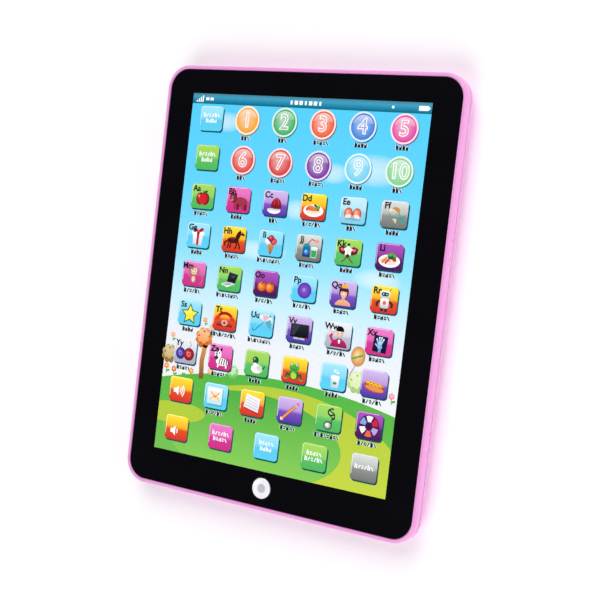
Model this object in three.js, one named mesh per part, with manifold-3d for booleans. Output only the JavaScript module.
// A child's toy tablet, lying on its back. Millimetres, +Z out of the screen, +Y to the top of the
// screen, +X to the right. The origin is on the table, under the middle of the case.

import * as THREE from 'three';
import Module from 'manifold-3d';
import { mergeVertices } from 'three/addons/utils/BufferGeometryUtils.js';

const wasm = await Module();
wasm.setup();

// ---- driving dimensions ----

const CASE = { width: 186, height: 240, thickness: 16, radius: 13.2, wall: 2 };
const BACK_EDGE = { inset: 12, depth: 10 };
const FLOOR_TOP = 1.8;
const PARTING = { rearTop: 10.3, frontBottom: 10.5 };
const RIM = { width: 2.2, roundOver: 1.2 };
const LIP = { inset: 2.4, wall: 1, bottom: 9.2 };
const WEB = { bottom: 12.9, top: 14.1 };
const POCKET_GAP = 0.15;

const OVERLAY = { width: 181.3, height: 235.3, radius: 10.9, bottom: 15, top: 15.5 };
const FILM = { width: 176, height: 230, radius: 8, thickness: 0.2, pitch: 0.23, bottom: 14.15 };
const ADHESIVE = { border: 4.5, bottom: 14.84, top: 14.97 };

const KEYS = {
  columns: 6, rows: 9, pitchX: 24.16, pitchY: 21.94, topRowY: 90.5, lastRowKeys: 5, holeRadius: 5,
};

const HOME = {
  y: -107.8, capRadius: 5.6, capTop: 15.9, flangeRadius: 7.4, flangeBottom: 11.7, flangeTop: 12.6,
};
const HOME_HOLE = { overlay: 6, films: 6.6, web: 6.2 };

const BOARD = { left: -40, right: 40, front: -114.5, back: -71, bottom: 5.8, top: 7 };
const BOARD_SCREWS = [[-35.5, -75.5], [35.5, -75.5], [-35.5, -110], [35.5, -110]];
const BOARD_CORNER = 1.5;
const CHIP_BLOB = { x: -14, y: -90, radius: 8, height: 1.9, steps: 4 };
const CAPACITOR = { x: -31, y: -92, radius: 2.5, height: 5 };
const RESONATOR = { x: -23, y: -78.25, width: 5, depth: 2.5, height: 3.6 };
const SWITCH = {
  size: 6.2, top: 10.6, boreRadius: 2.1, boreBottom: 8.4, plungerRadius: 1.7, plungerBottom: 9.6,
};
const TAIL = { x: 26, y: -96.8, width: 16, thickness: 0.3, bottom: 8.2, top: 14.1, bow: 0.45 };
const TAIL_SLOT = { frameEnds: 0.6, connectorEnds: 0.5, halfDepth: 0.9 };
const CONNECTOR = { width: 20, depth: 4.2, top: 10, slotBottom: 7.8 };

const CELL = { radius: 5.25, length: 44.5, nubRadius: 1.9, nubLength: 1, pitch: 10.9, z: 7.4, shift: 1.2 };
const BAY = { y: -20, plateX: 25, wallX: 26, wallOuterX: 28.5, endWall: 1, halfLength: 16.2, top: 12.5 };
const BAY_WIRE_HOLE = { radius: 1.2, length: 6 };
const PLATE = { thickness: 0.4, width: 9, bottom: 2.6, top: 12 };
const SPRING = { wire: 0.35, bigRadius: 3.3, smallRadius: 2.3, turns: 3, stepsPerTurn: 10 };

const DOOR = { halfWidth: 27, hingeY: -42, freeY: 8, bottom: 0.3, top: 1.8, radius: 2, gap: 0.3 };
const TONGUE = { x: 16, width: 8, reach: 3, bottom: 2.05, top: 3.2, neck: 1.4 };
const DOOR_GRIP = { x: 9, halfWidth: 5, ribs: 5, firstRib: 4, pitch: 2.2, halfRib: 0.45, outer: 0.02 };
const DOOR_LEDGE = { innerX: 6, overlap: 1.2, depth: 2.4, top: 4 };
const DOOR_SCREW = {
  y: 3, headRadius: 2.5, recessRadius: 2.9, bossRadius: 4.2, bossTop: 4.3, seat: 3, shaft: 1.2, tip: 9.5,
};
const DOOR_SCREW_BLOCK = {
  halfWidth: 4.5, bottom: 4.8, top: 11.5, boreRadius: 2.1, outerY: 10.4, legFlare: 3, legBack: 0.8,
};

const SPEAKER = {
  y: 62, radius: 18, clearance: 0.4, ringWall: 1.5, gasketInner: 15.5, flangeBottom: 2.6, flangeTop: 3.6,
};
const SPEAKER_WINDOW = { width: 6.8, length: 3.4, radius: 12.9, z: 5.9 };
const SPEAKER_SCREWS = { radius: 21.4, post: 2.4, postDrop: 0.1, head: 3.9, tip: 1.3 };
const GRILLE = { rings: 2, ringStep: 6, holeRadius: 1.7 };

const CASE_SCREWS = {
  x: 74, y: 101, tubeRadius: 4, tubeTop: 7.8, recessRadius: 3, seat: 4.8, postRadius: 3.2, tip: 12.2,
};
const BOARD_SCREW_TIP = 2.6;
const SCREW = { head: 2.6, headHeight: 1.9, shaft: 1.25, clearance: 0.35, slotWidth: 0.7, slotDepth: 0.8 };

// How far a post runs into the wall or web that it stands on, and the gap that stays between solids that rest
// on each other.
const ROOT = 0.5;
const GAP = 0.05;

const WIRE = { radius: 0.7, step: 4.5 };

// How many sides round shapes have: rings and cylinders count the whole turn, arcs half a quarter.
const SIDES = { large: 28, medium: 16, small: 10, grille: 8 };
const ARC = { case: 4, overlay: 5, small: 2, keyHole: 4, wire: 4, spring: 3 };

// How far a cutting tool passes beyond the face that it opens.
const CUT = 1;

// ---- turning three.js geometry into solids, and back ----

function welded(geometry) {
  const bare = geometry.clone();
  bare.deleteAttribute('normal');
  bare.deleteAttribute('uv');
  const merged = mergeVertices(bare, 1e-4);
  const corners = merged.index.array;
  const kept = [];
  for (let i = 0; i < corners.length; i += 3) {
    const [a, b, c] = corners.slice(i, i + 3);
    if (a !== b && b !== c && c !== a) kept.push(a, b, c);
  }
  merged.setIndex(kept);
  return merged;
}

function solid(geometry) {
  const { attributes, index } = welded(geometry);
  return new wasm.Manifold(new wasm.Mesh({
    numProp: 3,
    vertProperties: Float32Array.from(attributes.position.array),
    triVerts: Uint32Array.from(index.array),
  }));
}

function joined(parts) {
  return parts.map(solid).reduce((sum, part) => sum.add(part));
}

function cut(body, tools) {
  return tools.length ? body.subtract(joined(tools)) : body;
}

function geometryOf(body) {
  const { vertProperties, triVerts } = body.getMesh();
  const geometry = new THREE.BufferGeometry();
  geometry.setAttribute('position', new THREE.BufferAttribute(vertProperties, 3));
  geometry.setIndex(new THREE.BufferAttribute(triVerts, 1));
  geometry.computeVertexNormals();
  return geometry;
}

function piece(name, shape, material) {
  const geometry = shape.isBufferGeometry ? welded(shape) : geometryOf(shape);
  const mesh = new THREE.Mesh(geometry, new THREE.MeshStandardMaterial(material));
  mesh.name = name;
  return mesh;
}

// ---- basic shapes, each made where it belongs ----

function block(x0, x1, y0, y1, z0, z1) {
  const geometry = new THREE.BoxGeometry(x1 - x0, y1 - y0, z1 - z0);
  return geometry.translate((x0 + x1) / 2, (y0 + y1) / 2, (z0 + z1) / 2);
}

function disc(radius, z0, z1, x, y, segments) {
  const geometry = new THREE.CylinderGeometry(radius, radius, z1 - z0, segments);
  return geometry.rotateX(Math.PI / 2).translate(x, y, (z0 + z1) / 2);
}

// The profile lists [radius, z] upwards along the outside, and closes on the axis or on itself.
function turned(profile, x, y, segments) {
  const points = profile.map(([radius, z]) => new THREE.Vector2(radius, z));
  const geometry = new THREE.LatheGeometry(points, segments);
  return geometry.rotateX(Math.PI / 2).translate(x, y, 0);
}

function ring(outer, inner, z0, z1, x, y, segments) {
  return turned([[inner, z0], [outer, z0], [outer, z1], [inner, z1], [inner, z0]], x, y, segments);
}

function roundedRectangle(width, height, radius, centreY = 0) {
  const x = width / 2 - radius;
  const y = height / 2 - radius;
  const shape = new THREE.Shape();
  shape.absarc(x, centreY - y, radius, -Math.PI / 2, 0);
  shape.absarc(x, centreY + y, radius, 0, Math.PI / 2);
  shape.absarc(-x, centreY + y, radius, Math.PI / 2, Math.PI);
  shape.absarc(-x, centreY - y, radius, Math.PI, Math.PI * 1.5);
  shape.closePath();
  return shape;
}

function circleHole(x, y, radius) {
  const path = new THREE.Path();
  path.absarc(x, y, radius, 0, Math.PI * 2, true);
  return path;
}

function sheet(shape, z0, z1, curveSegments = ARC.case) {
  const settings = { depth: z1 - z0, bevelEnabled: false, curveSegments };
  return new THREE.ExtrudeGeometry(shape, settings).translate(0, 0, z0);
}

function tube(points, radius) {
  const path = new THREE.CatmullRomCurve3(points.map((p) => new THREE.Vector3(...p)));
  const section = new THREE.Shape();
  section.absarc(0, 0, radius, 0, Math.PI * 2);
  const steps = Math.ceil(path.getLength() / WIRE.step);
  const settings = { steps, curveSegments: ARC.wire, bevelEnabled: false, extrudePath: path };
  return new THREE.ExtrudeGeometry(section, settings);
}

// The case outline, drawn in by `inset` all round, as a list of corners of the same length at every inset.
function caseRing({ inset, z }) {
  const shape = roundedRectangle(CASE.width - 2 * inset, CASE.height - 2 * inset, CASE.radius - inset);
  const points = shape.getPoints(ARC.case);
  if (points[0].distanceTo(points.at(-1)) < 1e-6) points.pop();
  return points.map(({ x, y }) => new THREE.Vector3(x, y, z));
}

// A closed body through the case outline at each level, from the lowest to the highest.
function loft(levels) {
  const rings = levels.map(caseRing);
  const count = rings[0].length;
  const caps = THREE.ShapeUtils.triangulateShape(rings[0].map(({ x, y }) => new THREE.Vector2(x, y)), []);
  const top = (rings.length - 1) * count;
  const faces = [];
  for (const [a, b, c] of caps) faces.push(c, b, a, top + a, top + b, top + c);
  for (let level = 0; level < rings.length - 1; level += 1) {
    for (let i = 0; i < count; i += 1) {
      const a = level * count + i;
      const b = level * count + ((i + 1) % count);
      faces.push(a, b, b + count, a, b + count, a + count);
    }
  }
  const geometry = new THREE.BufferGeometry().setFromPoints(rings.flat());
  geometry.setIndex(faces);
  return geometry;
}

// The levels of a rounded back edge: a quarter of an ellipse from the flat back out to the side wall.
function backEdge(wall, bottom, steps) {
  const depth = BACK_EDGE.depth - bottom;
  const reach = BACK_EDGE.inset - wall;
  return Array.from({ length: steps + 1 }, (_, i) => {
    const angle = (i / steps) * Math.PI / 2;
    return { inset: wall + reach * (1 - Math.sin(angle)), z: BACK_EDGE.depth - depth * Math.cos(angle) };
  });
}

// ---- places that several pieces share ----

const caseScrewPlaces = [-1, 1].flatMap((sx) => (
  [-1, 0, 1].map((sy) => [sx * CASE_SCREWS.x, sy * CASE_SCREWS.y])
));

const speakerScrewPlaces = [0, Math.PI].map((turn) => [
  SPEAKER_SCREWS.radius * Math.cos(turn),
  SPEAKER.y + SPEAKER_SCREWS.radius * Math.sin(turn),
]);

function keyPlaces() {
  const places = [];
  for (let row = 0; row < KEYS.rows; row += 1) {
    const count = row === KEYS.rows - 1 ? KEYS.lastRowKeys : KEYS.columns;
    const pitch = (KEYS.pitchX * (KEYS.columns - 1)) / (count - 1);
    for (let column = 0; column < count; column += 1) {
      places.push([(column - (count - 1) / 2) * pitch, KEYS.topRowY - row * KEYS.pitchY]);
    }
  }
  return places;
}

function cellPlaceY(number) {
  return BAY.y + (number - 2) * CELL.pitch;
}

// ---- materials ----

const pinkPlastic = { color: 0xe79fd6, roughness: 0.35, metalness: 0 };
const blackOverlay = { color: 0x0b0b0e, roughness: 0.12, metalness: 0 };
const clearFilm = { color: 0xcfd8dc, roughness: 0.3, metalness: 0 };
const foam = { color: 0x2a2a2c, roughness: 0.95, metalness: 0 };
const glossyWhite = { color: 0xf0f0f2, roughness: 0.2, metalness: 0 };
const whitePlastic = { color: 0xece9e2, roughness: 0.5, metalness: 0 };
const blackPlastic = { color: 0x18181a, roughness: 0.5, metalness: 0 };
const steel = { color: 0xb9bcc0, roughness: 0.3, metalness: 1 };
const nickel = { color: 0xd2d2cc, roughness: 0.22, metalness: 1 };
const boardGreen = { color: 0x2c6b3f, roughness: 0.45, metalness: 0 };
const paper = { color: 0x3a3733, roughness: 0.9, metalness: 0 };
const redVinyl = { color: 0xb3201f, roughness: 0.5, metalness: 0 };
const blackVinyl = { color: 0x1a1a1a, roughness: 0.5, metalness: 0 };
const cellSleeve = { color: 0x1c2c6e, roughness: 0.35, metalness: 0 };
const flexFilm = { color: 0xd9b36a, roughness: 0.4, metalness: 0 };
const dippedCeramic = { color: 0xc98a2b, roughness: 0.5, metalness: 0 };

// ---- the case ----

function rearCover() {
  const outer = loft([...backEdge(0, 0, 6), { inset: 0, z: PARTING.rearTop }]);
  const inner = loft([...backEdge(CASE.wall, FLOOR_TOP, 5), { inset: CASE.wall, z: PARTING.rearTop + CUT }]);
  const shell = solid(outer).subtract(solid(inner));
  const withPosts = shell.add(joined([...screwTubes(), ...boardPosts(), ...speakerSeat(), ...bayWalls()]));
  return cut(withPosts, [...screwBores(), ...grilleHoles(), ...doorOpening(), ...wireHoles()]);
}

function screwTubes() {
  const { tubeRadius, tubeTop } = CASE_SCREWS;
  return caseScrewPlaces.map(([x, y]) => disc(tubeRadius, 1, tubeTop, x, y, SIDES.medium));
}

// A post at each corner of the board, and one that backs the home button's switch.
function boardPosts() {
  const places = [...BOARD_SCREWS, [0, HOME.y]];
  return places.map(([x, y]) => disc(CASE_SCREWS.postRadius, 1, BOARD.bottom - GAP, x, y, SIDES.small));
}

function speakerSeat() {
  const { y, radius, clearance, ringWall } = SPEAKER;
  const inner = radius + clearance;
  const wall = ring(inner + ringWall, inner, 1, SPEAKER.flangeBottom, 0, y, SIDES.large);
  const postTop = SPEAKER.flangeTop - SPEAKER_SCREWS.postDrop;
  const posts = speakerScrewPlaces.map(([px, py]) => (
    disc(SPEAKER_SCREWS.post, 1, postTop, px, py, SIDES.small)
  ));
  return [wall, ...posts];
}

function bayWalls() {
  const { wallX, wallOuterX, halfLength, endWall, top } = BAY;
  const front = BAY.y - halfLength;
  const back = BAY.y + halfLength;
  const parts = [];
  for (const side of [-1, 1]) {
    const [x0, x1] = [side * wallX, side * wallOuterX].sort((a, b) => a - b);
    parts.push(block(x0, x1, front - endWall, DOOR.freeY + 2, FLOOR_TOP, DOOR_LEDGE.top));
    parts.push(block(x0, x1, front - endWall, back + endWall, DOOR_LEDGE.top - ROOT, top));
    parts.push(doorLedge(side));
  }
  parts.push(block(-wallX - 1, wallX + 1, front - endWall, front, FLOOR_TOP + 0.2, top));
  parts.push(block(-wallX - 1, wallX + 1, back, back + endWall, FLOOR_TOP + 0.2, top));
  parts.push(...doorScrewBlock(back + endWall / 2));
  return parts;
}

// The shelf that the door's free edge closes against, on one side of its screw.
function doorLedge(side) {
  const { innerX, overlap, depth, top } = DOOR_LEDGE;
  const [x0, x1] = [side * innerX, side * BAY.wallX].sort((a, b) => a - b);
  return block(x0, x1 + ROOT * side, DOOR.freeY - overlap, DOOR.freeY + depth, FLOOR_TOP, top);
}

function doorScrewBlock(wallY) {
  const { halfWidth, bottom, top, outerY, legFlare, legBack } = DOOR_SCREW_BLOCK;
  const head = block(-halfWidth, halfWidth, wallY, outerY, bottom, top);
  const legHalf = halfWidth + legFlare;
  const leg = block(-legHalf, legHalf, DOOR.freeY + legBack, outerY, 1, bottom + 1);
  return [head, leg];
}

function screwBores() {
  const caseBores = caseScrewPlaces.flatMap(([x, y]) => [
    disc(CASE_SCREWS.recessRadius, -CUT, CASE_SCREWS.seat, x, y, SIDES.medium),
    disc(SCREW.shaft + SCREW.clearance, 0, CASE_SCREWS.tubeTop + CUT, x, y, SIDES.medium),
  ]);
  const pilot = SCREW.shaft + SCREW.clearance;
  const boardBores = BOARD_SCREWS.map(([x, y]) => disc(pilot, 2, BOARD.bottom + CUT, x, y, SIDES.small));
  const speakerBores = speakerScrewPlaces.map(([x, y]) => disc(pilot, 1, 5, x, y, SIDES.small));
  const { y, seat } = DOOR_SCREW;
  const doorBore = disc(DOOR_SCREW_BLOCK.boreRadius, seat, DOOR_SCREW_BLOCK.top + CUT, 0, y, SIDES.medium);
  return [...caseBores, ...boardBores, ...speakerBores, doorBore];
}

function grilleHoles() {
  const { holeRadius, ringStep } = GRILLE;
  const hole = (x, y) => disc(holeRadius, -CUT, FLOOR_TOP + ROOT, x, y, SIDES.grille);
  const holes = [hole(0, SPEAKER.y)];
  for (let ringNumber = 1; ringNumber <= GRILLE.rings; ringNumber += 1) {
    const count = 6 * ringNumber;
    for (let i = 0; i < count; i += 1) {
      const angle = (i / count) * Math.PI * 2;
      const reach = ringNumber * ringStep;
      holes.push(hole(Math.cos(angle) * reach, SPEAKER.y + Math.sin(angle) * reach));
    }
  }
  return holes;
}

function doorOpening() {
  const { halfWidth, hingeY, freeY, gap, radius } = DOOR;
  const centre = (hingeY + freeY) / 2;
  const shape = roundedRectangle(2 * (halfWidth + gap), freeY - hingeY + 2 * gap, radius + gap, centre);
  return [sheet(shape, -CUT, FLOOR_TOP, ARC.small)];
}

// The two battery leads pass through the bay's side walls behind their contact plates.
function wireHoles() {
  return [[-1, 1], [1, 3]].map(([side, cell]) => {
    const { radius, length } = BAY_WIRE_HOLE;
    const hole = new THREE.CylinderGeometry(radius, radius, length, SIDES.small).rotateZ(Math.PI / 2);
    return hole.translate(side * (BAY.wallX + 1), cellPlaceY(cell), CELL.z);
  });
}

function frontFrame() {
  const { thickness } = CASE;
  const roundLevels = [0, 1, 2, 3].map((i) => {
    const angle = (i / 3) * Math.PI / 2;
    const drop = RIM.roundOver * (1 - Math.sin(angle));
    return { inset: RIM.roundOver * (1 - Math.cos(angle)), z: thickness - drop };
  });
  const shell = solid(loft([{ inset: 0, z: PARTING.frontBottom }, ...roundLevels]));
  const lipTop = PARTING.frontBottom + ROOT;
  const lip = solid(loft([{ inset: LIP.inset, z: LIP.bottom }, { inset: LIP.inset, z: lipTop }]));
  const cavityInset = LIP.inset + LIP.wall;
  const cavity = [{ inset: cavityInset, z: LIP.bottom - CUT }, { inset: cavityInset, z: WEB.bottom }];
  const pocketInset = RIM.width - POCKET_GAP;
  const pocket = [{ inset: pocketInset, z: WEB.top }, { inset: pocketInset, z: thickness + CUT }];
  const hollow = cut(shell.add(lip), [loft(cavity), loft(pocket)]);
  const posts = caseScrewPlaces.map(([x, y]) => (
    disc(CASE_SCREWS.postRadius, CASE_SCREWS.tubeTop + 2 * GAP, WEB.bottom + ROOT, x, y, SIDES.medium)
  ));
  const pilots = caseScrewPlaces.map(([x, y]) => (
    disc(SCREW.shaft + SCREW.clearance, CASE_SCREWS.tubeTop - CUT, WEB.bottom + 0.2, x, y, SIDES.medium)
  ));
  const homeHole = disc(HOME_HOLE.web, WEB.bottom - CUT, WEB.top + CUT, 0, HOME.y, SIDES.large);
  const slot = tailSlot(TAIL_SLOT.frameEnds, TAIL.y, WEB.bottom - CUT, WEB.top + CUT);
  return cut(hollow.add(joined(posts)), [...pilots, homeHole, slot]);
}

// What a slot for the membrane's tail takes away, with some room at the strip's ends.
function tailSlot(ends, y, z0, z1) {
  const half = TAIL.width / 2 + ends;
  return block(TAIL.x - half, TAIL.x + half, y - TAIL_SLOT.halfDepth, y + TAIL_SLOT.halfDepth, z0, z1);
}

// ---- the touch sheet: printed overlay, adhesive, and three membrane films ----

function filmShape(holes) {
  const shape = roundedRectangle(FILM.width, FILM.height, FILM.radius);
  shape.holes.push(circleHole(0, HOME.y, HOME_HOLE.films), ...holes);
  return shape;
}

function film(name, level, holes) {
  const z = FILM.bottom + level * FILM.pitch;
  return piece(name, sheet(filmShape(holes), z, z + FILM.thickness, ARC.keyHole), clearFilm);
}

function graphicOverlay() {
  const shape = roundedRectangle(OVERLAY.width, OVERLAY.height, OVERLAY.radius);
  shape.holes.push(circleHole(0, HOME.y, HOME_HOLE.overlay));
  return piece('graphic_overlay', sheet(shape, OVERLAY.bottom, OVERLAY.top, ARC.overlay), blackOverlay);
}

// A frame of adhesive along the border, notched round the home button.
function overlayAdhesive() {
  const { border, bottom, top } = ADHESIVE;
  const outside = roundedRectangle(FILM.width, FILM.height, FILM.radius);
  const inside = roundedRectangle(FILM.width - 2 * border, FILM.height - 2 * border, FILM.radius / 2);
  const notch = disc(HOME_HOLE.films, bottom - CUT, top + CUT, 0, HOME.y, SIDES.medium);
  const opening = sheet(inside, bottom - CUT, top + CUT, ARC.small);
  const frame = cut(solid(sheet(outside, bottom, top, ARC.small)), [opening, notch]);
  return piece('overlay_adhesive', frame, clearFilm);
}

function touchSheet() {
  const keyHoles = keyPlaces().map(([x, y]) => circleHole(x, y, KEYS.holeRadius));
  return [
    film('membrane_bottom_film', 0, []),
    film('membrane_spacer_film', 1, keyHoles),
    film('membrane_top_film', 2, []),
    overlayAdhesive(),
    graphicOverlay(),
    membraneTail(),
  ];
}

// A flexible strip that drops from the films, through the frame, into the board's connector.
function membraneTail() {
  const { x, y, width, thickness, bottom, top, bow } = TAIL;
  const middle = (bottom + top) / 2;
  const side = new THREE.Shape();
  side.moveTo(y, bottom);
  side.quadraticCurveTo(y + bow, (bottom + middle) / 2, y, middle);
  side.quadraticCurveTo(y - bow, (top + middle) / 2, y, top);
  side.lineTo(y + thickness, top);
  side.quadraticCurveTo(y + thickness - bow, (top + middle) / 2, y + thickness, middle);
  side.quadraticCurveTo(y + thickness + bow, (bottom + middle) / 2, y + thickness, bottom);
  side.closePath();
  const settings = { depth: width, bevelEnabled: false, curveSegments: 5 };
  const strip = new THREE.ExtrudeGeometry(side, settings);
  strip.applyMatrix4(new THREE.Matrix4().set(0, 0, 1, x - width / 2, 1, 0, 0, 0, 0, 1, 0, 0, 0, 0, 0, 1));
  return piece('membrane_tail', strip, flexFilm);
}

// ---- the home button and its switch ----

function homeButton() {
  const { capRadius, capTop, flangeRadius, flangeBottom, flangeTop, y } = HOME;
  const profile = [
    [0, flangeBottom], [flangeRadius, flangeBottom], [flangeRadius, flangeTop], [capRadius, flangeTop],
    [capRadius, capTop - 0.5], [capRadius - 0.15, capTop - 0.15], [capRadius - 0.5, capTop],
    [capRadius - 1, capTop - 0.05], [capRadius - 1.6, capTop - 0.3], [2, capTop - 0.5], [0, capTop - 0.55],
  ];
  return piece('home_button', turned(profile, 0, y, SIDES.large), glossyWhite);
}

function homeSwitch() {
  const { size, top, boreRadius, boreBottom, plungerRadius, plungerBottom } = SWITCH;
  const half = size / 2;
  const body = block(-half, half, HOME.y - half, HOME.y + half, BOARD.top, top);
  const bore = disc(boreRadius, boreBottom, top + CUT, 0, HOME.y, SIDES.medium);
  const plunger = disc(plungerRadius, plungerBottom, HOME.flangeBottom, 0, HOME.y, SIDES.medium);
  return [
    piece('home_switch_housing', cut(solid(body), [bore]), blackPlastic),
    piece('home_switch_plunger', plunger, whitePlastic),
  ];
}

// ---- screws ----

// A pan-head screw standing on its head: `up` is 1 when the shaft points up from the head, or -1.
function screwSolid(x, y, seat, tip, headRadius, shaftRadius) {
  const up = Math.sign(tip - seat);
  const crown = seat - up * SCREW.headHeight;
  const point = tip - up * shaftRadius;
  const profile = [
    [0, crown], [headRadius - 0.6, crown], [headRadius, crown + up * 0.6], [headRadius, seat],
    [shaftRadius, seat], [shaftRadius, point], [0, tip],
  ];
  if (up < 0) profile.reverse();
  const body = solid(turned(profile, x, y, SIDES.small));
  const reach = headRadius * 0.7;
  const half = SCREW.slotWidth / 2;
  const [z0, z1] = [crown - up * CUT, crown + up * SCREW.slotDepth].sort((a, b) => a - b);
  const cross = [
    block(x - reach, x + reach, y - half, y + half, z0, z1),
    block(x - half, x + half, y - reach, y + reach, z0, z1),
  ];
  return cut(body, cross);
}

function screws() {
  const speakerSeatZ = SPEAKER.flangeTop + GAP;
  const groups = [
    ['case_screw', caseScrewPlaces, CASE_SCREWS.seat, CASE_SCREWS.tip, SCREW.head],
    ['board_screw', BOARD_SCREWS, BOARD.top, BOARD_SCREW_TIP, SCREW.head],
    ['speaker_screw', speakerScrewPlaces, speakerSeatZ, SPEAKER_SCREWS.tip, SPEAKER_SCREWS.head],
  ];
  return groups.flatMap(([name, places, seat, tip, head]) => places.map(([x, y], i) => (
    piece(`${name}_${i + 1}`, screwSolid(x, y, seat, tip, head, SCREW.shaft), steel)
  )));
}

// ---- the board ----

function mainBoard() {
  const { left, right, front, back, bottom, top } = BOARD;
  const shape = roundedRectangle(right - left, back - front, BOARD_CORNER, (front + back) / 2);
  const clearance = SCREW.shaft + SCREW.clearance;
  shape.holes.push(...BOARD_SCREWS.map(([x, y]) => circleHole(x, y, clearance)));
  return piece('main_board', sheet(shape, bottom, top, ARC.small * 2), boardGreen);
}

function standingBlock(x, y, width, depth, top) {
  return block(x - width / 2, x + width / 2, y - depth / 2, y + depth / 2, BOARD.top, top);
}

function chipBlob() {
  const { x, y, radius, height, steps } = CHIP_BLOB;
  const dome = Array.from({ length: steps }, (_, i) => {
    const angle = (i / steps) * Math.PI / 2;
    return [radius * Math.cos(angle), BOARD.top + height * Math.sin(angle)];
  });
  const profile = [[0, BOARD.top], ...dome, [0, BOARD.top + height]];
  return piece('chip_blob', turned(profile, x, y, SIDES.medium), blackPlastic);
}

function filterCapacitor() {
  const { x, y, radius, height } = CAPACITOR;
  const can = disc(radius, BOARD.top, BOARD.top + height, x, y, SIDES.medium);
  return piece('filter_capacitor', can, blackVinyl);
}

function ceramicResonator() {
  const { x, y, width, depth, height } = RESONATOR;
  return piece('ceramic_resonator', standingBlock(x, y, width, depth, BOARD.top + height), dippedCeramic);
}

function membraneConnector() {
  const { width, depth, top, slotBottom } = CONNECTOR;
  const y = TAIL.y + TAIL.thickness / 2;
  const body = solid(standingBlock(TAIL.x, y, width, depth, top));
  const slot = tailSlot(TAIL_SLOT.connectorEnds, y, slotBottom, top + CUT);
  return piece('membrane_connector', cut(body, [slot]), whitePlastic);
}

// ---- the speaker, facing the grille in the back ----

// A steel basket with four windows, open at the middle for the magnet.
function speakerFrame() {
  const { y, radius, flangeBottom, flangeTop } = SPEAKER;
  const profile = [
    [4, 7.6], [8.6, 7.6], [15.9, flangeTop], [15.9, flangeBottom], [radius, flangeBottom],
    [radius, flangeTop], [16.8, flangeTop], [9.3, 8.4], [4, 8.4], [4, 7.6],
  ];
  const windows = [0, 1, 2, 3].map((i) => {
    const { width, length, radius: reach, z } = SPEAKER_WINDOW;
    const box = new THREE.BoxGeometry(width, length, length).translate(0, reach, z);
    return box.rotateZ((i + 0.5) * Math.PI / 2).translate(0, y, 0);
  });
  return piece('speaker_frame', cut(solid(turned(profile, 0, y, SIDES.large)), windows), steel);
}

function speaker() {
  const { y, radius, gasketInner, flangeBottom } = SPEAKER;
  const gasket = ring(radius, gasketInner, FLOOR_TOP + GAP, flangeBottom - GAP, 0, y, SIDES.large);
  const magnetProfile = [
    [0, 10.4], [4, 10.4], [4, 8.45], [8.5, 8.45], [9, 8.9], [9, 11], [8.5, 11.5], [0, 11.5],
  ];
  const coneProfile = [
    [2.9, 8.2], [2.9, 6.1], [13.2, 3.2], [14.2, 2.75], [15.3, 3.1], [15.3, 3.45], [14.2, 3.15], [13.3, 3.6],
    [3.4, 6.4], [3.4, 8.2], [2.9, 8.2],
  ];
  const capProfile = [[0, 4.6], [2.4, 4.9], [4.6, 5.55], [4.6, 5.6], [2.6, 5.4], [0, 5.1]];
  return [
    piece('speaker_gasket', gasket, foam),
    speakerFrame(),
    piece('speaker_magnet', turned(magnetProfile, 0, y, SIDES.medium), steel),
    piece('speaker_cone', turned(coneProfile, 0, y, SIDES.large), paper),
    piece('speaker_dust_cap', turned(capProfile, 0, y, SIDES.medium), paper),
  ];
}

// ---- the battery bay: three cells in series, their contacts, and the door ----

// Each cell's positive end points to -X (polarity -1) or +X (polarity 1).
const CELL_POLARITY = { 1: -1, 2: 1, 3: -1 };

function batteryCell(number) {
  const { radius, length, nubRadius, nubLength } = CELL;
  const half = length / 2;
  const shoulder = half - nubLength;
  const profile = [
    [0, -half], [radius - 0.9, -half], [radius, -half + 0.5], [radius, shoulder - 0.6],
    [radius - 0.5, shoulder], [nubRadius, shoulder], [nubRadius, half], [0, half],
  ];
  const side = CELL_POLARITY[number];
  const geometry = turned(profile, 0, 0, SIDES.medium).rotateY(side * Math.PI / 2);
  geometry.translate(side * CELL.shift, cellPlaceY(number), CELL.z);
  return piece(`battery_cell_${number}`, geometry, cellSleeve);
}

// A cone of spring wire from the plate to the flat end of a cell, as seen along +X from the plate.
function contactSpring(length) {
  const { wire, bigRadius, smallRadius, turns, stepsPerTurn } = SPRING;
  const steps = turns * stepsPerTurn;
  const points = Array.from({ length: steps + 1 }, (_, i) => {
    const t = i / steps;
    const radius = bigRadius + (smallRadius - bigRadius) * t;
    const angle = t * turns * Math.PI * 2;
    return new THREE.Vector3((length - wire) * t, radius * Math.cos(angle), radius * Math.sin(angle));
  });
  const section = new THREE.Shape();
  section.absarc(0, 0, wire, 0, Math.PI * 2);
  const extrudePath = new THREE.CatmullRomCurve3(points);
  const settings = { steps, curveSegments: ARC.spring, bevelEnabled: false, extrudePath };
  return new THREE.ExtrudeGeometry(section, settings);
}

function contactDimple(height) {
  const profile = [[0, -0.2], [3, -0.2], [3, 0], [1.6, height - 0.2], [1.2, height], [0, height]];
  return turned(profile, 0, 0, SIDES.small).rotateY(Math.PI / 2);
}

// A plate on one end wall (side -1 or 1) with a spring or a dimple for each cell that it serves.
function batteryContact(name, side, cells) {
  const { thickness, width, bottom, top } = PLATE;
  const ys = cells.map(cellPlaceY);
  const plate = block(-thickness, 0, Math.min(...ys) - width / 2, Math.max(...ys) + width / 2, bottom, top);
  const endGap = BAY.plateX - CELL.length / 2;
  const details = cells.map((number) => {
    const positive = CELL_POLARITY[number] === side;
    const detail = positive
      ? contactDimple(endGap - CELL.shift - 2 * GAP)
      : contactSpring(endGap + CELL.shift - 2 * GAP);
    return detail.translate(0, cellPlaceY(number), CELL.z);
  });
  const body = joined([plate, ...details]);
  const geometry = geometryOf(body);
  if (side > 0) geometry.rotateZ(Math.PI).translate(0, 2 * BAY.y, 0);
  geometry.translate(side * BAY.plateX, 0, 0);
  return piece(name, geometry, nickel);
}

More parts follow.
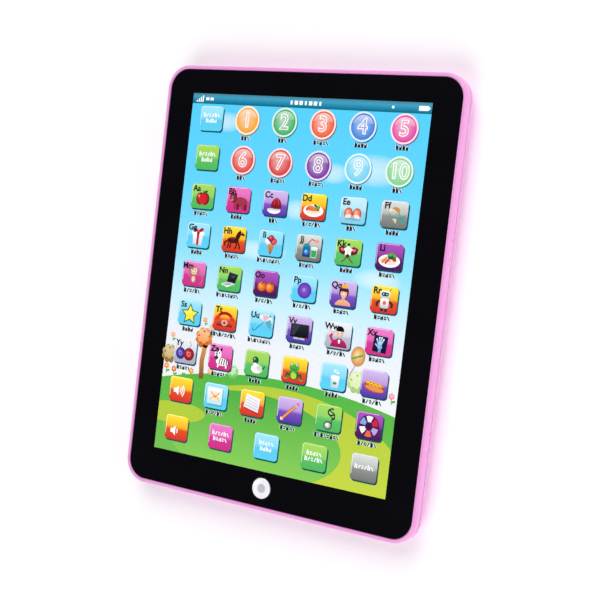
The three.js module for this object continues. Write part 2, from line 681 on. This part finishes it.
function gripRibs() {
  const { x, halfWidth, ribs, firstRib, pitch, halfRib, outer } = DOOR_GRIP;
  return [-x, x].flatMap((middle) => Array.from({ length: ribs }, (_, i) => {
    const y = DOOR.freeY - firstRib - i * pitch;
    return block(middle - halfWidth, middle + halfWidth, y - halfRib, y + halfRib, outer, DOOR.bottom + 0.3);
  }));
}

function batteryDoor() {
  const { halfWidth, hingeY, freeY, bottom, top, radius } = DOOR;
  const shape = roundedRectangle(2 * halfWidth, freeY - hingeY, radius, (hingeY + freeY) / 2);
  const parts = [sheet(shape, bottom, top, ARC.small)];
  for (const x of [-TONGUE.x, TONGUE.x]) {
    const [x0, x1] = [x - TONGUE.width / 2, x + TONGUE.width / 2];
    parts.push(block(x0, x1, hingeY - TONGUE.reach, hingeY + TONGUE.neck, TONGUE.bottom, TONGUE.top));
    parts.push(block(x0, x1, hingeY + 2 * GAP, hingeY + TONGUE.neck, top - ROOT, TONGUE.top - 4 * GAP));
  }
  parts.push(...gripRibs());
  const { y, bossRadius, bossTop, recessRadius, seat, shaft } = DOOR_SCREW;
  parts.push(disc(bossRadius, top - ROOT, bossTop, 0, y, SIDES.medium));
  const bores = [
    disc(recessRadius, -CUT, seat, 0, y, SIDES.medium),
    disc(shaft + SCREW.clearance, 1, bossTop + CUT, 0, y, SIDES.medium),
  ];
  return piece('battery_door', cut(joined(parts), bores), pinkPlastic);
}

function doorScrew() {
  const { y, seat, tip, headRadius, shaft } = DOOR_SCREW;
  return piece('battery_door_screw', screwSolid(0, y, seat, tip, headRadius, shaft), steel);
}

function batteries() {
  return [
    batteryCell(1),
    batteryCell(2),
    batteryCell(3),
    batteryContact('battery_contact_positive', -1, [1]),
    batteryContact('battery_link_1_2', 1, [1, 2]),
    batteryContact('battery_link_2_3', -1, [2, 3]),
    batteryContact('battery_contact_negative', 1, [3]),
  ];
}

// ---- leads inside the case, each along its own route ----

function leads() {
  const wire = WIRE.radius;
  const padZ = BOARD.top + wire + 0.1;
  const [y1, y3] = [cellPlaceY(1), cellPlaceY(3)];
  const start = BAY.plateX + PLATE.thickness + 0.3;
  const redBattery = [
    [-start, y1, CELL.z], [-29, y1, CELL.z], [-32, y1 - 2.5, 7], [-33, y1 - 9, 5], [-33, y1 - 24, 3.4],
    [-32, -62, 4], [-31, -67.5, 7], [-30, -71.5, padZ + 0.7], [-29.5, -75.5, padZ],
  ];
  const blackBattery = [
    [start, y3, CELL.z], [29, y3, CELL.z], [32, y3 - 2.5, 7], [33, y3 - 9, 5], [33.5, y3 - 30, 3.4],
    [33, -58, 3.6], [31, -67, 7], [29.5, -71.5, padZ + 0.7], [29, -75.5, padZ],
  ];
  const speakerRoute = (side) => [
    [-19.8 - side * 0.6, SPEAKER.y - 8 + side * 2.4, 6], [-25 - side, SPEAKER.y - 11 + side * 2.2, 5],
    [-34 - side * 1.8, SPEAKER.y - 22 + side * 1.4, 3.2], [-40 - side * 2, SPEAKER.y - 40 + side, 3],
    [-42 - side * 2, -10, 3], [-44 - side * 2, -50, 3], [-45 - side * 2, -72 - side * 2, 4],
    [-43.5 - side, -81 - side * 3.4, padZ + 0.6], [-38, -84 - side * 3.6, padZ],
  ];
  return [
    piece('battery_wire_red', tube(redBattery, wire), redVinyl),
    piece('battery_wire_black', tube(blackBattery, wire), blackVinyl),
    piece('speaker_wire_red', tube(speakerRoute(0), wire), redVinyl),
    piece('speaker_wire_black', tube(speakerRoute(1), wire), blackVinyl),
  ];
}

// ---- the whole tablet ----

const tablet = new THREE.Group();
tablet.add(
  piece('front_frame', frontFrame(), pinkPlastic),
  piece('rear_cover', rearCover(), pinkPlastic),
  ...touchSheet(),
  homeButton(),
  ...homeSwitch(),
  mainBoard(),
  chipBlob(),
  filterCapacitor(),
  ceramicResonator(),
  membraneConnector(),
  ...speaker(),
  ...batteries(),
  batteryDoor(),
  doorScrew(),
  ...leads(),
  ...screws(),
);

export default tablet;
